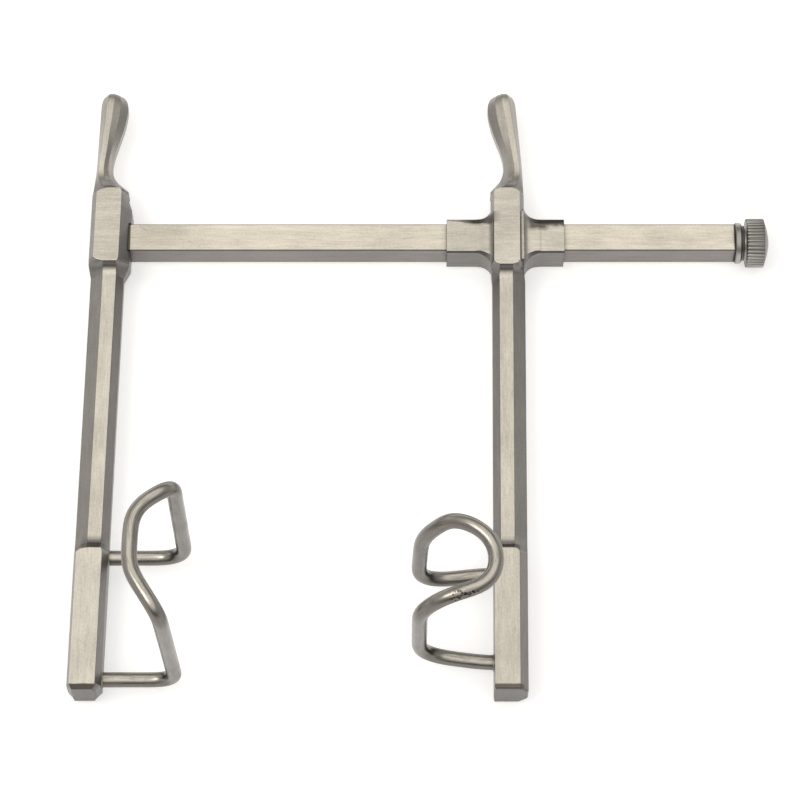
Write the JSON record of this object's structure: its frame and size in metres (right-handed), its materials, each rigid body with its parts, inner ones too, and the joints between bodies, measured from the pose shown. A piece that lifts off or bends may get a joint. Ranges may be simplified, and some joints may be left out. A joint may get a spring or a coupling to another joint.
{
  "type": "self retaining retractor",
  "caption": "Frame retractor: a square bar with a fixed arm and a sliding arm, each with a finger horn and a bent wire blade, and a knurled stop screw at the bar's end.",
  "frame": {"origin": "on the flat back face of the fixed arm's boss, straight below the bar's axis", "axes": "+X along the bar from the fixed arm to the stop screw, +Y towards the finger horns, +Z towards the blades' tips"},
  "size_m": [0.1498, 0.139, 0.051],
  "materials": {
    "bar_steel": "satin, ground along and across the bar",
    "forged_steel": "satin, hand finished forging",
    "wire_steel": "bright drawn wire, lightly streaked",
    "turned_steel": "turned and knurled, satin"
  },
  "bodies": {
    "frame": {"cross_bar": "bar_steel", "fixed_arm": "forged_steel", "fixed_blade": "wire_steel"},
    "slider": {"sliding_arm": "forged_steel", "sliding_blade": "wire_steel"},
    "stop_ring": {"stop_washer": "turned_steel"},
    "thumbscrew": {"stop_screw": "turned_steel"}
  },
  "joints": [
    {"name": "arm_slide", "type": "slide", "parent": "frame", "child": "slider", "axis": [1, 0, 0], "range_m": [-0.0615, 0.0372]},
    {"name": "stop_travel", "type": "slide", "parent": "frame", "child": "stop_ring", "axis": [1, 0, 0], "range_m": [0, 0.0056]},
    {"name": "stop_turn", "type": "hinge", "parent": "stop_ring", "child": "thumbscrew", "pos_m": [0.1366, 0, 0.0054], "axis": [1, 0, 0], "range_deg": [0, 2890]}
  ],
  "couplings": [
    {"joint": "stop_turn", "follows": "stop_travel", "rad_per_m": 8976}
  ]
}
